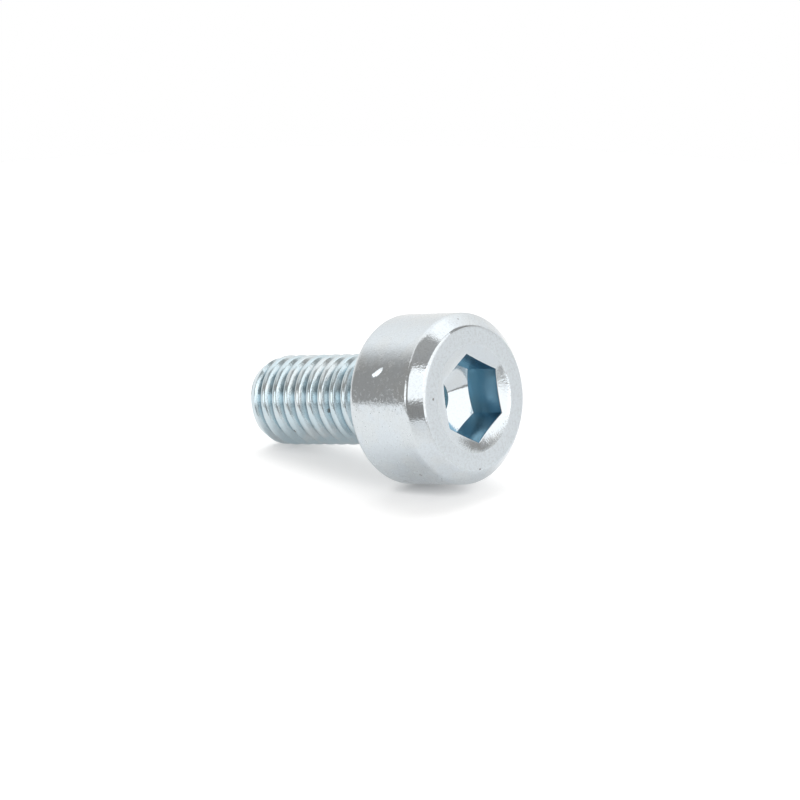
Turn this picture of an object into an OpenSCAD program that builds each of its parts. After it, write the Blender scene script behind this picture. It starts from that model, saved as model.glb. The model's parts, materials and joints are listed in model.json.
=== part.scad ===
// Hexagon socket head cap screw, threaded along its whole shank, lying on its side as it comes to rest.
// The screw is drawn upright on its own axis, with the underside of the head at zero, and then laid down.
// The shank is drawn at the outside diameter of its thread.

/* [Shank] */
// Outside diameter of the thread
thread_d = 3; // [2.4:0.1:4]
// Length of the shank below the head
shank_l = 6; // [3:0.5:40]
// Length of the tapered point
point_l = 0.45; // [0.2:0.05:1]
// How far the point tapers in on each side
point_w = 0.2; // [0.05:0.05:0.6]
// Radius of the edge round the flat end
point_edge_r = 0.1; // [0.02:0.01:0.2]
// Radius of the fillet between the shank and the head
neck_r = 0.15; // [0.05:0.05:0.4]

/* [Head] */
// Diameter of the head
head_d = 5.5; // [4.8:0.1:9]
// Height of the head
head_h = 3; // [2.2:0.1:6]
// Width of the bevel round the top, measured across the head
bevel_w = 0.42; // [0.1:0.02:0.6]
// Height of the bevel round the top, measured along the head
bevel_h = 0.42; // [0.2:0.02:0.8]
// Radius of the edge between the top face and the bevel
bevel_top_r = 0.12; // [0.02:0.02:0.2]
// Radius of the edge between the bevel and the side
bevel_side_r = 0.2; // [0.02:0.02:0.4]
// Radius of the edge round the underside
under_edge_r = 0.25; // [0.05:0.05:0.5]

/* [Socket] */
// Width of the socket across its flats
socket_af = 2.5; // [1.5:0.1:3]
// Depth of the socket to the foot of its corners
socket_depth = 1.3; // [0.6:0.1:1.7]
// Width of the countersunk lip outside the socket's corners
lip_w = 0.3; // [0.06:0.02:0.4]
// Angle of the countersunk lip, in degrees
lip_angle = 155; // [80:5:160]
// Slope of the dished floor of the socket, in degrees
floor_slope = 25; // [5:1:35]
// Diameter of the flat middle of the floor
floor_flat_d = 1.2; // [0.4:0.1:1.6]

/* [Rest] */
// How far the screw is rolled about its axis, in degrees, from one flat of its socket facing down
rest_roll = 268.5; // [0:0.5:360]

/* [Hidden] */
$fn = 96;
cut_over = 0.5; // how far a cut runs past the surface that it opens
arc_over = 1.001; // makes a rounding arc cross the sides that it joins, where a true tangent would only touch them
flat_turn = 30; // turns a hexagon from a corner to a flat

shank_r = thread_d / 2;
point_r = shank_r - point_w;
head_r = head_d / 2;
face_r = head_r - bevel_w;

// Half of the screw's section, as [radius, height along the axis], from the top face to the point
top_centre = [0, head_h];
top_corner = [face_r, head_h];
side_corner = [head_r, head_h - bevel_h];
under_corner = [head_r, 0];
neck_centre = [shank_r + neck_r, -neck_r];
point_corner = [shank_r, point_l - shank_l];
end_corner = [point_r, -shank_l];
end_centre = [0, -shank_l];

// The socket: a hexagon with a cone at its mouth and a shallower cone at its floor
socket_corner_r = socket_af / sqrt(3);
lip_r = socket_corner_r + lip_w;
lip_spread = tan(lip_angle / 2);
lip_depth = lip_r / lip_spread;
floor_flat_r = floor_flat_d / 2;
floor_rise = tan(floor_slope);
floor_depth = socket_depth + (socket_corner_r - floor_flat_r) * floor_rise;

// The tilt at which the rounded edge under the head and the start of the point touch one flat surface
rest_run = under_edge_r - point_corner[1];
rest_rise = head_r - under_edge_r - shank_r;
rest_tilt = atan2(rest_rise, rest_run) + asin(under_edge_r / norm([rest_run, rest_rise]));
rest_height = shank_r * cos(rest_tilt) - point_corner[1] * sin(rest_tilt);

// How far the laid screw reaches from the underside of its head, to the front and to the back
bevel_turn = atan2(bevel_h, bevel_w);
point_turn = atan2(point_l, point_w);
reach_front = edge_reach(face_r, head_h, bevel_top_r, bevel_turn);
reach_back = edge_reach(point_r, shank_l, point_edge_r, point_turn);

// The reach of an end's rounded edge: its radius, its height, its rounding and the turn to the side beyond it
function edge_reach(edge_r, edge_h, round_r, turn) =
    (edge_r - round_r * tan(turn / 2)) * sin(rest_tilt) + (edge_h - round_r) * cos(rest_tilt) + round_r;

function unit(v) = v / norm(v);

// The sliver between a corner of an outline and the arc that rounds it
module corner_sliver(before, corner, after, r) {
    to_before = unit(before - corner);
    to_after = unit(after - corner);
    half_angle = acos(to_before * to_after) / 2;
    inward = unit(to_before + to_after);
    centre = corner + inward * r / sin(half_angle);
    run = r / tan(half_angle);
    difference() {
        polygon([centre, corner + to_before * run, corner - inward * r, corner + to_after * run]);
        translate(centre) circle(r * arc_over);
    }
}

module screw_section() {
    difference() {
        polygon([
            top_centre, top_corner, side_corner, under_corner, [neck_centre[0], 0], neck_centre,
            [shank_r, neck_centre[1]], point_corner, end_corner, end_centre
        ]);
        corner_sliver(top_centre, top_corner, side_corner, bevel_top_r);
        corner_sliver(top_corner, side_corner, under_corner, bevel_side_r);
        corner_sliver(side_corner, under_corner, [0, 0], under_edge_r);
        corner_sliver(point_corner, end_corner, end_centre, point_edge_r);
        translate(neck_centre) circle(neck_r);
    }
}

// The hollow of the socket, with the top face at zero
module socket_cut() {
    intersection() {
        rotate(flat_turn) translate([0, 0, -floor_depth])
            cylinder(r = socket_corner_r, h = floor_depth + cut_over, $fn = 6);
        rotate_extrude() polygon([
            [0, cut_over], [lip_r, cut_over], [lip_r, (lip_r - floor_flat_r) * floor_rise - floor_depth],
            [floor_flat_r, -floor_depth], [0, -floor_depth]
        ]);
    }
    translate([0, 0, -lip_depth])
        cylinder(r1 = 0, r2 = lip_r + cut_over * lip_spread, h = lip_depth + cut_over);
}

module screw() {
    color([0.78, 0.82, 0.85])
        translate([(reach_back - reach_front) / 2, 0, rest_height])
        rotate([0, 90 - rest_tilt, 0]) rotate(rest_roll)
        difference() {
            rotate_extrude() screw_section();
            translate([0, 0, head_h]) socket_cut();
        }
}

screw();
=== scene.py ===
import json
import math

import bmesh
import bpy
from mathutils import Euler, Matrix, Vector


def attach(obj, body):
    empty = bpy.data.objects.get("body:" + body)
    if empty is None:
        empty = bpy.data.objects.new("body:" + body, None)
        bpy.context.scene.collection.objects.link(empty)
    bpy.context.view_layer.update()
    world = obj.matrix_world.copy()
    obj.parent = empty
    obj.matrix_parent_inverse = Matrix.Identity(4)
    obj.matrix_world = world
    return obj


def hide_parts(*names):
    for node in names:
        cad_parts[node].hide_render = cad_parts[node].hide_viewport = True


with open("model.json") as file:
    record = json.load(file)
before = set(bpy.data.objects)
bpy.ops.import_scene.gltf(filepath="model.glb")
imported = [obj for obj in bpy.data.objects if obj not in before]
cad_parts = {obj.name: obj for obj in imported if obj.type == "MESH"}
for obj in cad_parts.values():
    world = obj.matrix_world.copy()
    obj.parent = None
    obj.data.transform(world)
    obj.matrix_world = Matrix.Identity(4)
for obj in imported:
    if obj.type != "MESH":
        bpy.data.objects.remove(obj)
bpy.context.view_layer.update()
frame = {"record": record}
print("frame loaded")


# Shader nodes: a Signal is one socket, and maths on it adds Math nodes

class Signal:
    def __init__(self, tree, socket):
        self.tree = tree
        self.socket = socket

    def math(self, operation, *values):
        return self.tree.add("Math", {"operation": operation}, dict(enumerate(values)))

    def __add__(self, other):
        return self.math("ADD", self, other)

    def __radd__(self, other):
        return self.math("ADD", other, self)

    def __sub__(self, other):
        return self.math("SUBTRACT", self, other)

    def __rsub__(self, other):
        return self.math("SUBTRACT", other, self)

    def __mul__(self, other):
        return self.math("MULTIPLY", self, other)

    def __rmul__(self, other):
        return self.math("MULTIPLY", other, self)

    def __pow__(self, other):
        return self.math("POWER", self, other)


class NodeTree:
    def __init__(self, owner):  # a material or a world
        owner.use_nodes = True
        self.nodes = owner.node_tree.nodes
        self.links = owner.node_tree.links
        self.nodes.clear()

    def add(self, kind, settings, inputs, output=0):
        node = self.nodes.new("ShaderNode" + kind)
        for name, value in settings.items():
            setattr(node, name, value)
        for name, value in inputs.items():
            if isinstance(value, Signal):
                self.links.new(value.socket, node.inputs[name])
            else:
                node.inputs[name].default_value = value
        return Signal(self, node.outputs[output]) if node.outputs else None

    def between(self, value, low, high):  # 0 below low, 1 above high, eased
        return self.add("MapRange", {"interpolation_type": "SMOOTHSTEP"},
                        {"Value": value, "From Min": low, "From Max": high})

    def mixColour(self, factor, first, second):
        return self.add("Mix", {"data_type": "RGBA"}, {0: factor, 6: first, 7: second}, 2)


def grey(level):
    return (level, level, level, 1)


# The screw's own frame: z along its axis, zero at the underside of the head, millimetres

def easeStep(value, low, high):
    share = min(max((value - low) / (high - low), 0), 1)
    return share * share * (3 - 2 * share)


def softLeast(first, second, sharpness=60):
    return -math.log(math.exp(-sharpness * first) + math.exp(-sharpness * second)) / sharpness


def drawSection(bm, corners, segments):  # corners are radius, height and the run of the rounding
    verts = [bm.verts.new((radius, 0, height)) for radius, height, run in corners]
    for first, second in zip(verts, verts[1:]):
        bm.edges.new((first, second))
    for vert, (radius, height, run) in zip(verts, corners):
        if run:
            bmesh.ops.bevel(bm, geom=[vert], offset=run, offset_type="OFFSET", affect="VERTICES",
                            segments=segments, profile=0.5, material=-1)


def wireOnly(bm):
    return [v for v in bm.verts if not v.link_faces] + [e for e in bm.edges if not e.link_faces]


def rimAt(bm, height, near=0.01):  # the open edges at one height
    return [e for e in bm.edges if e.is_boundary and all(abs(v.co.z - height) < near for v in e.verts)]


def sinkRim(bm, rim, move):  # extrudes a rim and moves its new vertices
    grown = bmesh.ops.extrude_edge_only(bm, edges=rim)["geom"]
    for vert in [g for g in grown if isinstance(g, bmesh.types.BMVert)]:
        angle = math.atan2(vert.co.y, vert.co.x)
        radius, height = move(math.hypot(vert.co.x, vert.co.y), angle)
        vert.co = (radius * math.cos(angle), radius * math.sin(angle), height)
    return [g for g in grown if isinstance(g, bmesh.types.BMEdge) and g.is_boundary]


def closeRim(bm, rim):
    faces = bmesh.ops.edgeloop_fill(bm, edges=rim)["faces"]
    bmesh.ops.poke(bm, faces=faces)


threadShape = {
    "pitch": 0.528,
    "outerRadius": 1.5,
    "crestRadius": 1.499,
    "shoulderRadius": 1.471,  # a rolled crest is wide and slopes a little to both sides
    "rootRadius": 1.22,
    "crestWidth": 0.2,
    "flankAngle": 30,
    "flankHold": 0.2,  # the share of a flank that its rounded ends may bend
    "crestRun": 0.02,  # how far a rounded edge runs along each side
    "shoulderRun": 0.03,
    "rootRun": 0.035,
    "edgeSegments": 4,
    "steps": 120,  # to one turn
    "spareTurns": 2,  # past the end, cut off again
    "phase": 218,  # degrees
    "length": 6.0,
    "threadTop": -0.3,
    "neckFoot": -0.225,
    "neckRadius": 1.36,
    "neckRun": 0.15,
    "runoutFrom": -0.9,
    "runoutTo": -0.35,
    "pointLength": 0.5,
    "pointRadius": 1.25,
    "endRun": 0.08,
}


def rollThread(bm):
    shape = threadShape
    pitch = shape["pitch"]
    shoulder = shape["shoulderRadius"]
    root = shape["rootRadius"]
    end = -shape["length"]
    start = end - pitch * shape["spareTurns"]
    crestFrom = start + (pitch - shape["crestWidth"]) / 2
    crestTo = crestFrom + shape["crestWidth"]
    flank = (shoulder - root) * math.tan(math.radians(shape["flankAngle"]))
    hold = shape["flankHold"]
    low = root + (shoulder - root) * hold
    high = shoulder - (shoulder - root) * hold
    drawSection(bm, [
        (root, start, 0),
        (root, crestFrom - flank, shape["rootRun"]),
        (low, crestFrom - flank * (1 - hold), 0),
        (high, crestFrom - flank * hold, 0),
        (shoulder, crestFrom, shape["shoulderRun"]),
        (shape["crestRadius"], (crestFrom + crestTo) / 2, shape["crestRun"]),
        (shoulder, crestTo, shape["shoulderRun"]),
        (high, crestTo + flank * hold, 0),
        (low, crestTo + flank * (1 - hold), 0),
        (root, crestTo + flank, shape["rootRun"]),
        (root, start + pitch, 0),
    ], shape["edgeSegments"])
    bmesh.ops.rotate(bm, verts=bm.verts, matrix=Matrix.Rotation(math.radians(shape["phase"]), 3, "Z"))
    bmesh.ops.spin(bm, geom=wireOnly(bm), axis=(0, 0, 1), dvec=(0, 0, pitch / shape["steps"]),
                   angle=math.tau, steps=shape["steps"])
    oneTurn = bm.verts[:] + bm.edges[:] + bm.faces[:]
    for turn in range(1, math.ceil(shape["length"] / pitch) + shape["spareTurns"] + 1):
        copied = bmesh.ops.duplicate(bm, geom=oneTurn)["geom"]
        copiedVerts = [g for g in copied if isinstance(g, bmesh.types.BMVert)]
        bmesh.ops.translate(bm, verts=copiedVerts, vec=(0, 0, pitch * turn))
    bmesh.ops.remove_doubles(bm, verts=bm.verts, dist=0.001)
    for height, way in ((shape["threadTop"], 1), (end + shape["endRun"], -1)):
        bmesh.ops.bisect_plane(bm, geom=bm.verts[:] + bm.edges[:] + bm.faces[:], dist=0.0001,
                               plane_co=(0, 0, height), plane_no=(0, 0, way), clear_outer=True)
    bmesh.ops.remove_doubles(bm, verts=bm.verts, dist=0.002)
    slope = (shape["outerRadius"] - shape["pointRadius"]) / shape["pointLength"]
    for vert in bm.verts:  # the thread runs out under the head, and the point trims its crests
        radius = math.hypot(vert.co.x, vert.co.y)
        runout = easeStep(vert.co.z, shape["runoutFrom"], shape["runoutTo"])
        wanted = radius + (shape["neckRadius"] - radius) * runout
        wanted = softLeast(wanted, shape["pointRadius"] + slope * (vert.co.z - end))
        vert.co.x *= wanted / radius
        vert.co.y *= wanted / radius


def finishPoint(bm):
    run = threadShape["endRun"]
    end = -threadShape["length"]
    segments = threadShape["edgeSegments"]
    rim = rimAt(bm, end + run)
    for step in range(segments):  # rounds the edge of the flat end
        before = math.radians(90 * step / segments)
        after = math.radians(90 * (step + 1) / segments)
        drop = run * (math.cos(before) - math.cos(after))
        height = end + run * (1 - math.sin(after))
        rim = sinkRim(bm, rim, lambda radius, angle: (radius - drop, height))
    closeRim(bm, rim)


headShape = {
    "radius": 2.75,
    "height": 3.0,
    "bevelWidth": 0.42,
    "bevelHeight": 0.42,
    "faceEdgeRun": 0.085,  # how far a rounded edge runs along each side
    "sideEdgeRun": 0.083,
    "underEdgeRun": 0.25,
    "edgeSegments": 8,
    "faceGuard": 0.04,  # a loop this far from an edge keeps the flat beside it flat
    "sideGuard": 0.06,
    "around": 144,  # a multiple of 12, so the socket's corners fall on vertices
    "turn": 58.5,  # degrees, where one corner of the socket stands
}

socketShape = {
    "acrossFlats": 2.5,
    "depth": 1.3,  # at the foot of the corners
    "lipWidth": 0.3,
    "lipAngle": 155,
    "floorSlope": 25,
    "floorFlat": 0.6,
    "edgeRun": 0.03,
    "edgeSegments": 3,
}

flatRadius = socketShape["acrossFlats"] / 2
cornerRadius = flatRadius / math.cos(math.radians(30))
lipRadius = cornerRadius + socketShape["lipWidth"]


def lipHeight(radius):  # these two cones shape the socket and bound its finishes
    drop = (lipRadius - radius) * math.tan(math.radians(90 - socketShape["lipAngle"] / 2))
    return headShape["height"] - drop


def floorHeight(radius):
    drop = (cornerRadius - radius) * math.tan(math.radians(socketShape["floorSlope"]))
    return headShape["height"] - socketShape["depth"] - drop


def turnHead(bm):
    head = headShape
    height = head["height"]
    faceRadius = head["radius"] - head["bevelWidth"]
    sideTop = height - head["bevelHeight"]
    drawSection(bm, [
        (lipRadius, height, 0),
        (lipRadius + head["faceGuard"], height, 0),
        (faceRadius - head["faceEdgeRun"] - head["faceGuard"], height, 0),
        (faceRadius, height, head["faceEdgeRun"]),
        (head["radius"], sideTop, head["sideEdgeRun"]),
        (head["radius"], sideTop - head["sideEdgeRun"] - head["sideGuard"], 0),
        (head["radius"], head["underEdgeRun"] + head["sideGuard"], 0),
        (head["radius"], 0, head["underEdgeRun"]),
        (threadShape["neckRadius"], 0, threadShape["neckRun"]),
        (threadShape["neckRadius"], threadShape["neckFoot"], 0),
    ], head["edgeSegments"])
    bmesh.ops.spin(bm, geom=wireOnly(bm), axis=(0, 0, 1), angle=math.tau, steps=head["around"],
                   use_merge=True)

    def hexagon(angle):
        return flatRadius / math.cos((angle % math.radians(60)) - math.radians(30))

    def lipFoot(radius, angle):
        return hexagon(angle), lipHeight(hexagon(angle))

    def wallFoot(radius, angle):
        return hexagon(angle), floorHeight(hexagon(angle))

    def floorEdge(radius, angle):
        return socketShape["floorFlat"], floorHeight(socketShape["floorFlat"])

    mouth = sinkRim(bm, rimAt(bm, height), lipFoot)
    foot = sinkRim(bm, mouth, wallFoot)
    closeRim(bm, sinkRim(bm, foot, floorEdge))
    bmesh.ops.bevel(bm, geom=mouth, offset=socketShape["edgeRun"], offset_type="OFFSET", affect="EDGES",
                    segments=socketShape["edgeSegments"], profile=0.5, material=-1)


nickShape = {
    "angle": 239.5,  # degrees round the head
    "height": 1.22,
    "reach": 0.36,  # half the width of the patch that is cut finer
    "rows": 6,  # of faces in that patch
    "cuts": 4,  # through each of its edges
    "length": 0.24,  # half the length and half the width of the sloping cut
    "width": 0.083,
    "slant": 36.4,
    "slope": 0.3,
    "bankDepth": 0.2,  # the steep bank that ends the slope
    "bankSpread": 1.3,
}


def dentSide(bm):
    nick = nickShape
    radius = headShape["radius"]
    low = nick["height"] - nick["reach"]
    high = nick["height"] + nick["reach"]
    for row in range(nick["rows"] + 1):
        bmesh.ops.bisect_plane(bm, geom=bm.verts[:] + bm.edges[:] + bm.faces[:], dist=0.0001,
                               plane_co=(0, 0, low + (high - low) * row / nick["rows"]), plane_no=(0, 0, 1))

    def around(vert):  # distance round the head from the nick
        turn = math.atan2(vert.co.y, vert.co.x) - math.radians(nick["angle"])
        return radius * math.remainder(turn, math.tau)

    def inPatch(vert):
        onSide = abs(math.hypot(vert.co.x, vert.co.y) - radius) < 0.01
        return onSide and abs(around(vert)) < nick["reach"] and low - 0.001 < vert.co.z < high + 0.001

    patch = [f for f in bm.faces if all(inPatch(v) for v in f.verts)]
    edges = list({e for f in patch for e in f.edges})
    bmesh.ops.subdivide_edges(bm, edges=edges, cuts=nick["cuts"], use_grid_fill=True)
    slant = math.radians(nick["slant"])
    for vert in [v for v in bm.verts if inPatch(v)]:
        turn = math.atan2(vert.co.y, vert.co.x)
        across = around(vert)
        along = vert.co.z - nick["height"]
        lengthways = (along * math.cos(slant) - across * math.sin(slant)) / nick["length"]
        sideways = (along * math.sin(slant) + across * math.cos(slant)) / nick["width"]
        ramp = nick["slope"] * nick["width"] * (sideways + 1)
        bank = nick["bankDepth"] * (1 - lengthways ** 2 - (sideways / nick["bankSpread"]) ** 2)
        wanted = radius - max(0, min(ramp, bank))
        vert.co.x = wanted * math.cos(turn)
        vert.co.y = wanted * math.sin(turn)


def makeScrew(creaseFrom=18):  # degrees
    mount = next(m for m in frame["record"]["mounts"] if m["name"] == "hex_socket")
    axis = Vector(mount["axis"]).normalized()
    mouth = Vector(mount["pos_m"])
    lean = Matrix.Rotation(math.atan2(axis.x, axis.z), 4, "Y")
    place = Matrix.Translation(mouth - axis * headShape["height"] / 1000) @ lean

    bm = bmesh.new()
    rollThread(bm)
    finishPoint(bm)
    threadRim = rimAt(bm, threadShape["threadTop"])
    threadVerts = set(bm.verts)
    turnHead(bm)
    headVerts = [v for v in bm.verts if v not in threadVerts]
    bmesh.ops.rotate(bm, verts=headVerts, matrix=Matrix.Rotation(math.radians(headShape["turn"]), 3, "Z"))
    dentSide(bm)
    neckRim = rimAt(bm, threadShape["neckFoot"])
    bmesh.ops.bridge_loops(bm, edges=threadRim + neckRim)
    bmesh.ops.remove_doubles(bm, verts=bm.verts, dist=0.0005)
    bmesh.ops.recalc_face_normals(bm, faces=bm.faces)
    bmesh.ops.transform(bm, matrix=place @ Matrix.Scale(0.001, 4), verts=bm.verts)
    for face in bm.faces:
        face.smooth = True
    for edge in bm.edges:
        edge.smooth = edge.calc_face_angle(0) < math.radians(creaseFrom)
    print("screw mesh:", len(bm.verts), "vertices,", len(bm.faces), "faces,",
          sum(len(e.link_faces) != 2 for e in bm.edges), "edges without two faces")
    mesh = bpy.data.meshes.new("zincScrew")
    bm.to_mesh(mesh)
    bm.free()
    screw = bpy.data.objects.new("zincScrew", mesh)
    bpy.context.scene.collection.objects.link(screw)
    return screw, place


# Bright zinc plate with a slightly blue passivation, with painted shade in the thread's roots and on the
# socket's walls

zincLook = {
    "head": (0.71, 0.77, 0.815, 1),
    "thread": (0.605, 0.725, 0.78, 1),
    "face": (0.695, 0.75, 0.79, 1),
    "wall": (0.18, 0.32, 0.41, 1),  # painted shade on the socket's walls, darkest at the mouth and lighter at the foot
    "wallFoot": (0.48, 0.69, 0.79, 1),
    "warm": (0.72, 0.76, 0.775, 1),
    "dull": (0.58, 0.615, 0.64, 1),
    "root": (0.22, 0.29, 0.33, 1),  # painted shade in the bottom of the thread
    "pit": (0.20, 0.18, 0.16, 1),
    "warmShare": 0.6,
    "dullGrain": 0.3,
    "dullFace": 0.45,
    "dullBevel": 0.2,
    "rootShadeShare": 0.6,
    "pitShare": 0.8,
    "grainHeight": 0.0026,
    "rippleHeight": 0.003,
    "floorSmooth": 0.8,  # the share of both that the socket's floor lacks
    "pitDepth": 0.012,
    "pitRagged": 0.1,
}

zincRoughness = {
    "side": 0.1,
    "face": 0.44,
    "thread": 0.18,
    "wall": 0.24,
    "lip": 0.12,
    "floor": 0.06,
    "mottle": 0.22,  # these three are added to the others
    "cloud": 0.1,
    "pit": 0.2,
}

zincNoise = {  # scale, detail and roughness
    "grain": (18, 3, 0.6),
    "ripple": (4.5, 2, 0.5),
    "cloud": (1.3, 3, 0.5),
    "mottle": (9, 3, 0.6),
    "patch": (9, 4, 0.65),
}

zincBands = {  # where a finish begins and is complete: heights and radii, or values of a noise
    "head": (-0.12, -0.02),
    "faceHeight": (2.985, 2.995),
    "faceRadius": (1.74, 1.75),
    "side": (2.7, 2.74),
    "bevel": (5.2, 5.25),  # height and radius together
    "pastTip": (-5.9, -5.7),
    "pastRoot": (1.25, 1.38),
    "inSocket": (0.9, 1),
    "wallEdge": (0.012, 0.03),  # from the lip's and from the floor's cone
    "pastWall": (1.5, 1.52),
    "pastLip": (1.73, 1.74),
    "pastFloor": (1.42, 1.44),
    "wallMouth": (1.7, 2.6),
    "grain": (0.45, 0.7),
    "cloud": (0.42, 0.62),
    "mottle": (0.42, 0.72),
    "patch": (0.44, 0.64),
}

zincPits = [  # dark specks in the plate: place in the screw's own frame and radius
    ((-2.577, 0.081, 2.751), 0.035),
    ((2.08, -1.798, 1.846), 0.06),
    ((2.071, 1.306, 2.882), 0.045),
    ((0.078, -1.274, -2.276), 0.09),
    ((0.784, -1.266, -4.063), 0.07),
    ((-0.4, -1.896, 2.999), 0.05),
    ((2.255, -0.266, 2.999), 0.04),
]


def zincPlate(place):
    material = bpy.data.materials.new("zincPlate")
    tree = NodeTree(material)
    coords = tree.add("TexCoord", {}, {}, "Object")
    local = tree.add("Mapping", {"vector_type": "TEXTURE"}, {
        "Vector": coords, "Location": place.to_translation(), "Rotation": place.to_euler(),
        "Scale": (0.001, 0.001, 0.001)})  # the screw's own frame, in millimetres
    x, y, z = [tree.add("SeparateXYZ", {}, {"Vector": local}, axis) for axis in "XYZ"]
    radius = (x * x + y * y) ** 0.5

    def band(value, name):
        return tree.between(value, *zincBands[name])

    def noise(name):
        scale, detail, roughness = zincNoise[name]
        return tree.add("TexNoise", {}, {
            "Vector": local, "Scale": scale, "Detail": detail, "Roughness": roughness})

    onShank = 1 - band(z, "head")
    onFace = band(z, "faceHeight") * band(radius, "faceRadius")
    onSide = band(radius, "side")
    onBevel = band(z + radius, "bevel") * (1 - onSide) * (1 - onFace)
    rootShade = onShank * band(z, "pastTip") * (1 - band(radius, "pastRoot"))
    underLip = band(lipHeight(radius) - z, "wallEdge")
    overFloor = band(z - floorHeight(radius), "wallEdge")
    inSocket = band(z, "inSocket")
    onWall = underLip * overFloor * inSocket * (1 - band(radius, "pastWall"))
    onLip = (1 - underLip) * inSocket * (1 - band(radius, "pastLip"))
    onFloor = (1 - overFloor) * inSocket * (1 - band(radius, "pastFloor"))

    grain = noise("grain")
    cloud = noise("cloud")
    mottle = band(noise("mottle"), "mottle") * onSide
    dullTop = onFace * zincLook["dullFace"] + onBevel * zincLook["dullBevel"]
    patch = band(noise("patch"), "patch") * dullTop
    pit = 0
    for centre, size in zincPits:
        away = tree.add("VectorMath", {"operation": "DISTANCE"}, {0: local, 1: centre}, "Value")
        pit = pit + 1 - tree.between(away + (grain - 0.5) * zincLook["pitRagged"], size / 2, size)

    colour = tree.mixColour(onShank, zincLook["head"], zincLook["thread"])
    colour = tree.mixColour(band(cloud, "cloud") * zincLook["warmShare"], colour, zincLook["warm"])
    colour = tree.mixColour(onFace, colour, zincLook["face"])
    colour = tree.mixColour(band(grain, "grain") * zincLook["dullGrain"] + patch, colour, zincLook["dull"])
    # painted shade: the thread's roots are darkened
    colour = tree.mixColour(rootShade * zincLook["rootShadeShare"], colour, zincLook["root"])
    # painted shade: the socket's walls are darkened, most at the mouth
    wall = tree.mixColour(band(z, "wallMouth"), zincLook["wallFoot"], zincLook["wall"])
    colour = tree.mixColour(onWall, colour, wall)
    colour = tree.mixColour(pit * zincLook["pitShare"], colour, zincLook["pit"])

    side = zincRoughness["side"]
    roughness = side
    finishes = {"face": onFace, "thread": onShank, "wall": onWall, "lip": onLip, "floor": onFloor}
    for name, mask in finishes.items():
        roughness = roughness + mask * (zincRoughness[name] - side)
    for name, mask in {"mottle": mottle, "cloud": cloud - 0.5, "pit": pit}.items():
        roughness = roughness + mask * zincRoughness[name]

    relief = grain * zincLook["grainHeight"] + noise("ripple") * zincLook["rippleHeight"]
    relief = relief * (1 - onFloor * zincLook["floorSmooth"]) - pit * zincLook["pitDepth"]
    bump = tree.add("Bump", {}, {"Strength": 1, "Distance": 0.001, "Height": relief})
    shader = tree.add("BsdfPrincipled", {}, {
        "Base Color": colour, "Metallic": 1, "Roughness": roughness, "Normal": bump})
    tree.add("OutputMaterial", {}, {"Surface": shader})
    return material


# Floor, light and camera, with azimuths in degrees round from the positive x axis

stage = {
    "floorRadius": 0.046,
    "floorColour": grey(0.63),
    "floorFar": grey(0.53),  # less light falls in front of the head
    "floorLift": grey(0.24),  # light that comes up through the white sheet
    "liftFar": grey(0.215),
    "far": (0.004, 0.014),  # where that begins along x and is complete
    "floorSeen": grey(0.62),  # the share of the shadow that the camera sees
    "floorGlow": grey(0.47),  # and of the plain white
    "contact": 0.0004,  # how far the painted contact shadow under the screw spreads
    "headGlow": grey(0.14),  # how much of the white is left in the painted contact shadow under the head
    "tipGlow": grey(0.36),  # and under the tip
    "tipToHead": (-0.002, 0.001),  # where the one becomes the other along x
}


def layFloor():
    bm = bmesh.new()
    bmesh.ops.create_circle(bm, cap_ends=True, segments=96, radius=stage["floorRadius"])
    mesh = bpy.data.meshes.new("paleFloor")
    bm.to_mesh(mesh)
    bm.free()
    floor = bpy.data.objects.new("paleFloor", mesh)
    bpy.context.scene.collection.objects.link(floor)
    material = bpy.data.materials.new("paleFloor")
    tree = NodeTree(material)
    seen = tree.add("LightPath", {}, {}, "Is Camera Ray")
    coords = tree.add("TexCoord", {}, {}, "Object")
    x = tree.add("SeparateXYZ", {}, {"Vector": coords}, "X")
    far = tree.between(x, *stage["far"])
    colour = tree.mixColour(far, stage["floorColour"], stage["floorFar"])
    colour = tree.mixColour(seen, colour, stage["floorSeen"])
    lift = tree.mixColour(far, stage["floorLift"], stage["liftFar"])
    near = tree.add("AmbientOcclusion", {"samples": 8}, {"Distance": stage["contact"]}, "AO")
    # painted contact shadow: less of the white glow near the screw, darker under the head than under the
    # tip
    contactShadow = tree.mixColour(tree.between(x, *stage["tipToHead"]), stage["tipGlow"], stage["headGlow"])
    glow = tree.mixColour(seen, lift, tree.mixColour(near, contactShadow, stage["floorGlow"]))
    diffuse = tree.add("BsdfDiffuse", {}, {"Color": colour})
    emission = tree.add("Emission", {}, {"Color": glow, "Strength": 1})
    tree.add("OutputMaterial", {}, {"Surface": tree.add("AddShader", {}, {0: diffuse, 1: emission})})
    mesh.materials.append(material)


def direction(azimuth, elevation):
    turn = math.radians(azimuth)
    lift = math.radians(elevation)
    return Vector((math.cos(turn) * math.cos(lift), math.sin(turn) * math.cos(lift), math.sin(lift)))


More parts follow.
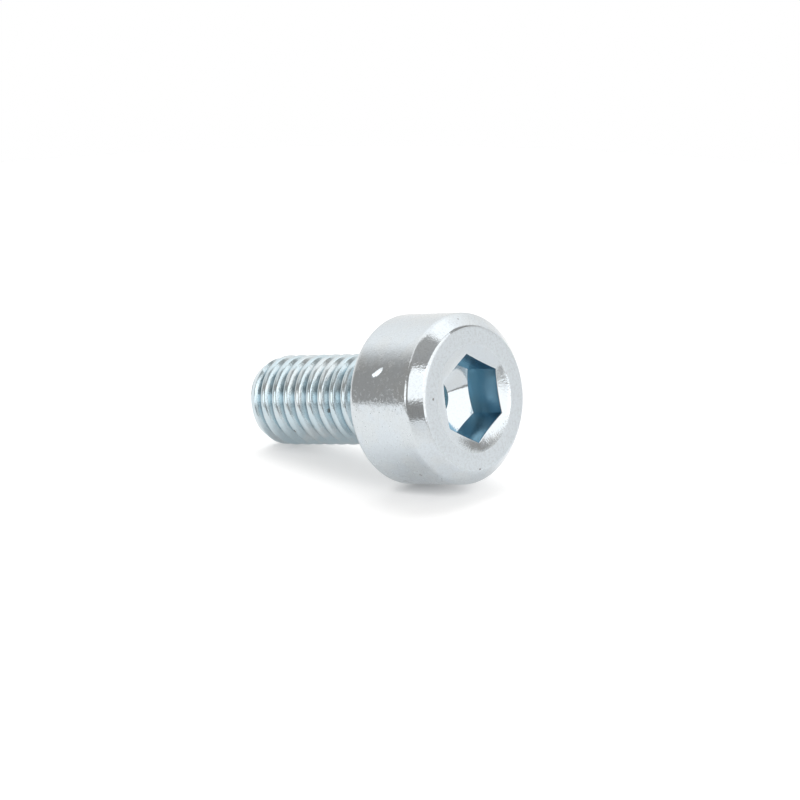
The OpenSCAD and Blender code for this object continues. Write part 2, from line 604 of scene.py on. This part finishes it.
studio = {
    "tent": (0.95, 0.94, 0.925, 1),  # white cloth behind the screw and to its left
    "tentTop": (1.22, 1.21, 1.2, 1),  # its upper part, nearer to the lamps
    "room": (0.37, 0.355, 0.34, 1),
    "front": (0.32, 0.31, 0.3, 1),  # the darker side of the room
    "ceiling": (0.45, 0.44, 0.43, 1),
    "tentMiddle": 125,
    "tentLeft": (48, 84),  # where the cloth begins and ends to fade, from its middle
    "tentRight": (56, 61),
    "sweep": 36,  # how much further round the cloth reaches near the floor and overhead
    "floorRise": (0.1, 0.19),  # sines of the heights where these end and begin
    "overheadRise": (0.77, 0.85),
    "topRise": (0.25, 0.95),
    "ceilingRise": (0.75, 0.92),
    "frontShare": (0.5, 0.9),  # how squarely a ray turns from the cloth's middle
    "boxes": [  # name, azimuth, elevation, roll, width, height, brightness over the room's, seen in mirrors
        ("overheadBox", 140, 66, 0, 0.27, 0.27, 2.0, False),
        ("backBox", 74, 64, 0, 0.15, 0.1, 0.15, True),
        ("rightBox", 8, 27.85, 4, 0.33, 0.319, 1.0, True),
        ("frontBox", -44, 32.5, 0, 0.22, 0.18, 1.0, True),
        ("cameraBox", -108, 15, 0, 0.16, 0.122, 1.2, True),
        ("leftBox", -147, 50, 0, 0.183, 0.095, 0.55, True),
    ],
    "distance": 0.3,
}


def lightRoom():
    world = bpy.data.worlds.new("studio")
    bpy.context.scene.world = world
    tree = NodeTree(world)
    ray = tree.add("TexCoord", {}, {}, "Generated")

    def along(azimuth):  # how far the ray goes that way
        return tree.add("VectorMath", {"operation": "DOT_PRODUCT"},
                        {0: ray, 1: direction(azimuth, 0)}, "Value")

    ahead = along(studio["tentMiddle"])
    aside = along(studio["tentMiddle"] + 90)
    left = aside.math("ARCTAN2", aside, ahead) * (180 / math.pi)
    rise = tree.add("SeparateXYZ", {}, {"Vector": ray}, "Z")
    nearFloor = 1 - tree.between(rise, *studio["floorRise"])
    overhead = tree.between(rise, *studio["overheadRise"])
    right = 0 - left - (nearFloor + overhead) * studio["sweep"]
    cloth = 1 - tree.between(left, *studio["tentLeft"])
    cloth = cloth * (1 - tree.between(right, *studio["tentRight"]))
    room = tree.mixColour(tree.between(0 - ahead, *studio["frontShare"]), studio["room"], studio["front"])
    room = tree.mixColour(tree.between(rise, *studio["ceilingRise"]), room, studio["ceiling"])
    tent = tree.mixColour(tree.between(rise, *studio["topRise"]), studio["tent"], studio["tentTop"])
    colour = tree.mixColour(cloth, room, tent)
    around = tree.add("Background", {}, {"Color": colour, "Strength": 1})
    white = tree.add("Background", {}, {"Color": grey(1), "Strength": 1})
    seen = tree.add("LightPath", {}, {}, "Is Camera Ray")
    mixed = tree.add("MixShader", {}, {0: seen, 1: around, 2: white})
    tree.add("OutputWorld", {}, {"Surface": mixed})


def hangBoxes():
    for name, azimuth, elevation, roll, width, height, brightness, mirrored in studio["boxes"]:
        light = bpy.data.lights.new(name, "AREA")
        light.shape = "RECTANGLE"
        light.size = width
        light.size_y = height
        light.energy = brightness * math.pi * width * height
        lamp = bpy.data.objects.new(name, light)
        way = direction(azimuth, elevation)
        lamp.location = way * studio["distance"]
        rolled = Euler((0, 0, math.radians(roll))).to_quaternion()
        lamp.rotation_euler = (way.to_track_quat("Z", "Y") @ rolled).to_euler()
        lamp.visible_camera = False
        lamp.visible_glossy = mirrored
        bpy.context.scene.collection.objects.link(lamp)


cameraFit = {
    "azimuth": -47.9274,
    "elevation": 17.5131,
    "distance": 0.11,
    "side": 0.0008065,  # the point that it looks at, to the right of the origin and over the floor
    "height": 0.0023166,
    "lens": 151.3617,
}


def setCamera():
    back = direction(cameraFit["azimuth"], cameraFit["elevation"])
    right = direction(cameraFit["azimuth"] + 90, 0)
    aim = right * cameraFit["side"] + Vector((0, 0, cameraFit["height"]))
    camera = bpy.data.cameras.new("camera")
    camera.lens = cameraFit["lens"]
    camera.sensor_width = 36
    camera.clip_start = 0.001
    camera.clip_end = 10
    holder = bpy.data.objects.new("camera", camera)
    holder.location = aim + back * cameraFit["distance"]
    holder.rotation_euler = (-back).to_track_quat("-Z", "Y").to_euler()
    bpy.context.scene.collection.objects.link(holder)
    bpy.context.scene.camera = holder


screw, place = makeScrew()
screw.data.materials.append(zincPlate(place))
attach(screw, "root")
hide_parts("screw")
print("screw in place")

layFloor()
lightRoom()
hangBoxes()
setCamera()
bpy.context.scene.view_settings.view_transform = "Standard"
bpy.context.scene.cycles.glossy_bounces = 10  # light goes far into the socket and the thread
print("stage set")
